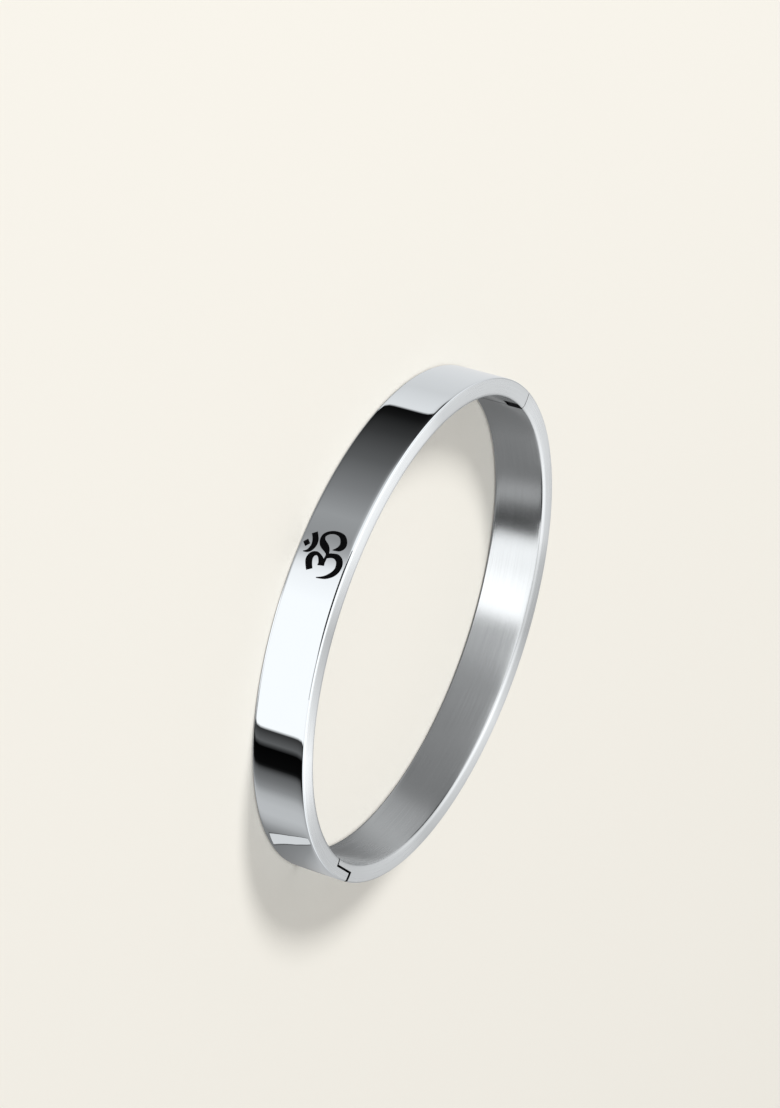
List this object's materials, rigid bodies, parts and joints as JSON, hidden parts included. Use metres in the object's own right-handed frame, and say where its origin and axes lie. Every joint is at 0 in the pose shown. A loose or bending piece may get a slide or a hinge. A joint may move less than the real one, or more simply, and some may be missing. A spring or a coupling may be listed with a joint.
{
  "type": "kada bangle",
  "caption": "Oval openable kada bangle: a flat polished steel band in halves, with a pin hinge, a hidden tongue clasp and a black filled Om sign. It closes round a wrist.",
  "frame": {"origin": "the middle of the oval on the surface that the bangle lies on", "axes": "+Z is the oval's axis and points up, +X points to the hinge, -X to the clasp, -Y to the front half with the sign"},
  "size_m": [0.071, 0.057, 0.008],
  "materials": {
    "polished_steel": "mirror polished outside, satin on the side faces and inside",
    "pin_steel": "ground",
    "spring_steel": "satin",
    "black_enamel": "smooth black filling, slightly below the steel"
  },
  "bodies": {
    "front": {"front_half": "polished_steel", "hinge_pin": "pin_steel", "symbol_enamel": "black_enamel"},
    "rear": {"rear_half": "polished_steel", "clasp_tongue": "spring_steel"}
  },
  "joints": [
    {"name": "opening", "type": "hinge", "parent": "front", "child": "rear", "pos_m": [0.03478, 0.00192, 0.004], "axis": [0, 0, -1], "range_deg": [0, 60]}
  ]
}
